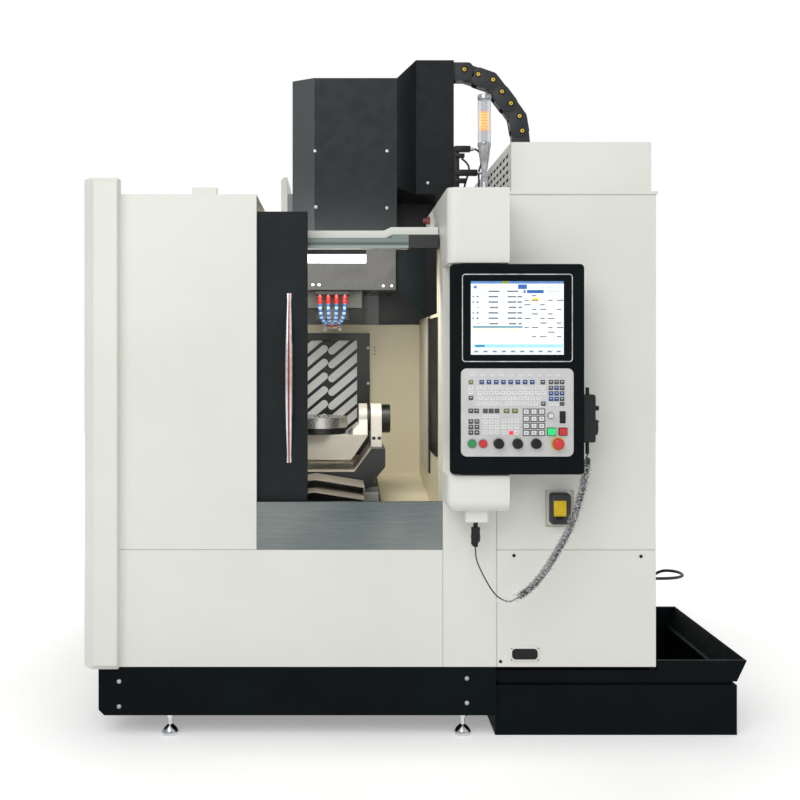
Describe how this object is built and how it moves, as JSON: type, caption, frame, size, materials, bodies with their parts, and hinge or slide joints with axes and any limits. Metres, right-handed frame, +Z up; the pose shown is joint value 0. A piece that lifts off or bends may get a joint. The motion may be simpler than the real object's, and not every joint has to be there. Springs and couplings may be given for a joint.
{
  "type": "cnc machining center",
  "caption": "Vertical machining centre with a sliding door, moving spindle head, tilting rotary table, swivelling control panel, hand pendant and coolant tank.",
  "frame": {"origin": "centre of the footprint at floor level", "axes": "+X to the operator's right, +Y from the front to the back, +Z up"},
  "size_m": [2.601, 2.228, 2.871],
  "materials": {
    "white_paint": "satin powder coat",
    "black_paint": "textured powder coat",
    "beige_paint": "satin paint",
    "cast_iron_paint": "painted casting",
    "stainless": "brushed",
    "chrome": "polished",
    "lamp": "lit diffuser",
    "dark_glass": "tinted",
    "wall_trim": "moulded",
    "screen_glass": "lit screen",
    "keypad_film": "printed film",
    "black_plastic": "moulded",
    "dial_plastic": "moulded",
    "hose_plastic": "moulded",
    "green_plastic": "moulded",
    "red_plastic": "moulded",
    "key_metal": "polished",
    "cord_rubber": "moulded"
  },
  "bodies": {
    "machine": {"plinth": "black_paint", "levelling_feet": "chrome", "machine_bed": "cast_iron_paint", "machine_column": "white_paint", "left_pillar": "white_paint", "left_front_panel": "white_paint", "left_side_panel": "white_paint", "rear_panel": "white_paint", "lower_front_panel": "white_paint", "sill_plate": "stainless", "operator_column": "white_paint", "top_beam": "white_paint", "work_lamp": "lamp", "right_inner_wall": "beige_paint", "wall_inserts": "wall_trim", "rear_inner_wall": "beige_paint", "chip_pan": "beige_paint", "slatted_guard": "black_paint", "electrical_cabinet": "white_paint", "breaker_box": "black_plastic", "cabinet_top_box": "white_paint", "coolant_tank": "black_paint", "signal_tower": "chrome", "front_way_cover_inner": "stainless", "cord_connector": "black_plastic", "pendant_cord_coil": "cord_rubber", "pendant_cord_tail": "cord_rubber", "pump_hose": "cord_rubber", "drag_chain": "black_plastic"},
    "head": {"spindle_head": "black_paint", "head_lower_cover": "black_paint", "head_cover": "black_paint", "head_side_cover": "black_paint", "coolant_nozzles": "hose_plastic"},
    "spindle": {"spindle_nose": "stainless"},
    "saddle": {"saddle": "cast_iron_paint", "front_way_cover_outer": "stainless"},
    "table": {"work_table": "black_paint", "trunnion_supports": "white_paint"},
    "cradle": {"cradle": "white_paint"},
    "platter": {"rotary_platter": "stainless"},
    "door": {"door_panel": "black_paint", "door_window": "dark_glass", "door_handle": "chrome"},
    "panel": {"panel_housing": "black_paint", "screen": "screen_glass", "keypad": "keypad_film", "pendant_body": "black_plastic"},
    "spindle_override": {"spindle_override_knob": "black_plastic"},
    "feed_override": {"feed_override_knob": "black_plastic"},
    "mode_selector": {"mode_selector_knob": "black_plastic"},
    "cycle_start": {"cycle_start_button": "green_plastic"},
    "feed_hold": {"feed_hold_button": "red_plastic"},
    "power_on": {"power_on_button": "green_plastic"},
    "power_off": {"power_off_button": "red_plastic"},
    "stop_button": {"emergency_stop": "red_plastic"},
    "key_barrel": {"key_switch": "key_metal"},
    "hand_wheel": {"pendant_dial": "dial_plastic"},
    "axis_selector": {"pendant_axis_knob": "black_plastic"},
    "rate_selector": {"pendant_rate_knob": "black_plastic"}
  },
  "joints": [
    {"name": "door_slide", "type": "slide", "parent": "machine", "child": "door", "axis": [1, 0, 0], "range_m": [0, 0.525]},
    {"name": "head_slide", "type": "slide", "parent": "machine", "child": "head", "axis": [0, 0, 1], "range_m": [-0.2, 0.08], "deforming": ["drag_chain"]},
    {"name": "spindle_turn", "type": "hinge", "parent": "head", "child": "spindle", "pos_m": [-0.3305, -0.266, 1.63], "axis": [0, 0, 1], "continuous": true},
    {"name": "saddle_slide", "type": "slide", "parent": "machine", "child": "saddle", "axis": [0, 1, 0], "range_m": [-0.12, 0.08]},
    {"name": "table_slide", "type": "slide", "parent": "saddle", "child": "table", "axis": [1, 0, 0], "range_m": [-0.25, 0.14]},
    {"name": "cradle_tilt", "type": "hinge", "parent": "table", "child": "cradle", "pos_m": [-0.4005, -0.266, 1.2056], "axis": [1, 0, 0], "range_deg": [-30, 110]},
    {"name": "platter_turn", "type": "hinge", "parent": "cradle", "child": "platter", "pos_m": [-0.4005, -0.266, 1.19], "axis": [0, 0, 1], "continuous": true},
    {"name": "panel_swivel", "type": "hinge", "parent": "machine", "child": "panel", "pos_m": [0.1595, -0.946, 1.441], "axis": [0, 0, 1], "range_deg": [-45, 0]},
    {"name": "spindle_override_turn", "type": "hinge", "parent": "panel", "child": "spindle_override", "pos_m": [0.28953, -1.092, 1.165], "axis": [0, -1, 0], "range_deg": [-135, 135]},
    {"name": "feed_override_turn", "type": "hinge", "parent": "panel", "child": "feed_override", "pos_m": [0.35934, -1.092, 1.165], "axis": [0, -1, 0], "range_deg": [-135, 135]},
    {"name": "mode_selector_turn", "type": "hinge", "parent": "panel", "child": "mode_selector", "pos_m": [0.42831, -1.092, 1.165], "axis": [0, -1, 0], "range_deg": [-135, 135]},
    {"name": "cycle_start_push", "type": "slide", "parent": "panel", "child": "cycle_start", "axis": [0, 1, 0], "range_m": [0, 0.004], "stiffness_N_per_m": 400},
    {"name": "feed_hold_push", "type": "slide", "parent": "panel", "child": "feed_hold", "axis": [0, 1, 0], "range_m": [0, 0.004], "stiffness_N_per_m": 400},
    {"name": "power_on_push", "type": "slide", "parent": "panel", "child": "power_on", "axis": [0, 1, 0], "range_m": [0, 0.004], "stiffness_N_per_m": 400},
    {"name": "power_off_push", "type": "slide", "parent": "panel", "child": "power_off", "axis": [0, 1, 0], "range_m": [0, 0.004], "stiffness_N_per_m": 400},
    {"name": "stop_push", "type": "slide", "parent": "panel", "child": "stop_button", "axis": [0, 1, 0], "range_m": [0, 0.006]},
    {"name": "key_turn", "type": "hinge", "parent": "panel", "child": "key_barrel", "pos_m": [0.48265, -1.085, 1.26906], "axis": [0, -1, 0], "range_deg": [-90, 0]},
    {"name": "hand_wheel_turn", "type": "hinge", "parent": "panel", "child": "hand_wheel", "pos_m": [0.66, -1.031, 1.222], "axis": [1, 0, 0], "continuous": true},
    {"name": "axis_selector_turn", "type": "hinge", "parent": "panel", "child": "axis_selector", "pos_m": [0.66, -1.049, 1.295], "axis": [1, 0, 0], "range_deg": [-75, 75]},
    {"name": "rate_selector_turn", "type": "hinge", "parent": "panel", "child": "rate_selector", "pos_m": [0.66, -1.013, 1.295], "axis": [1, 0, 0], "range_deg": [-45, 45]}
  ]
}
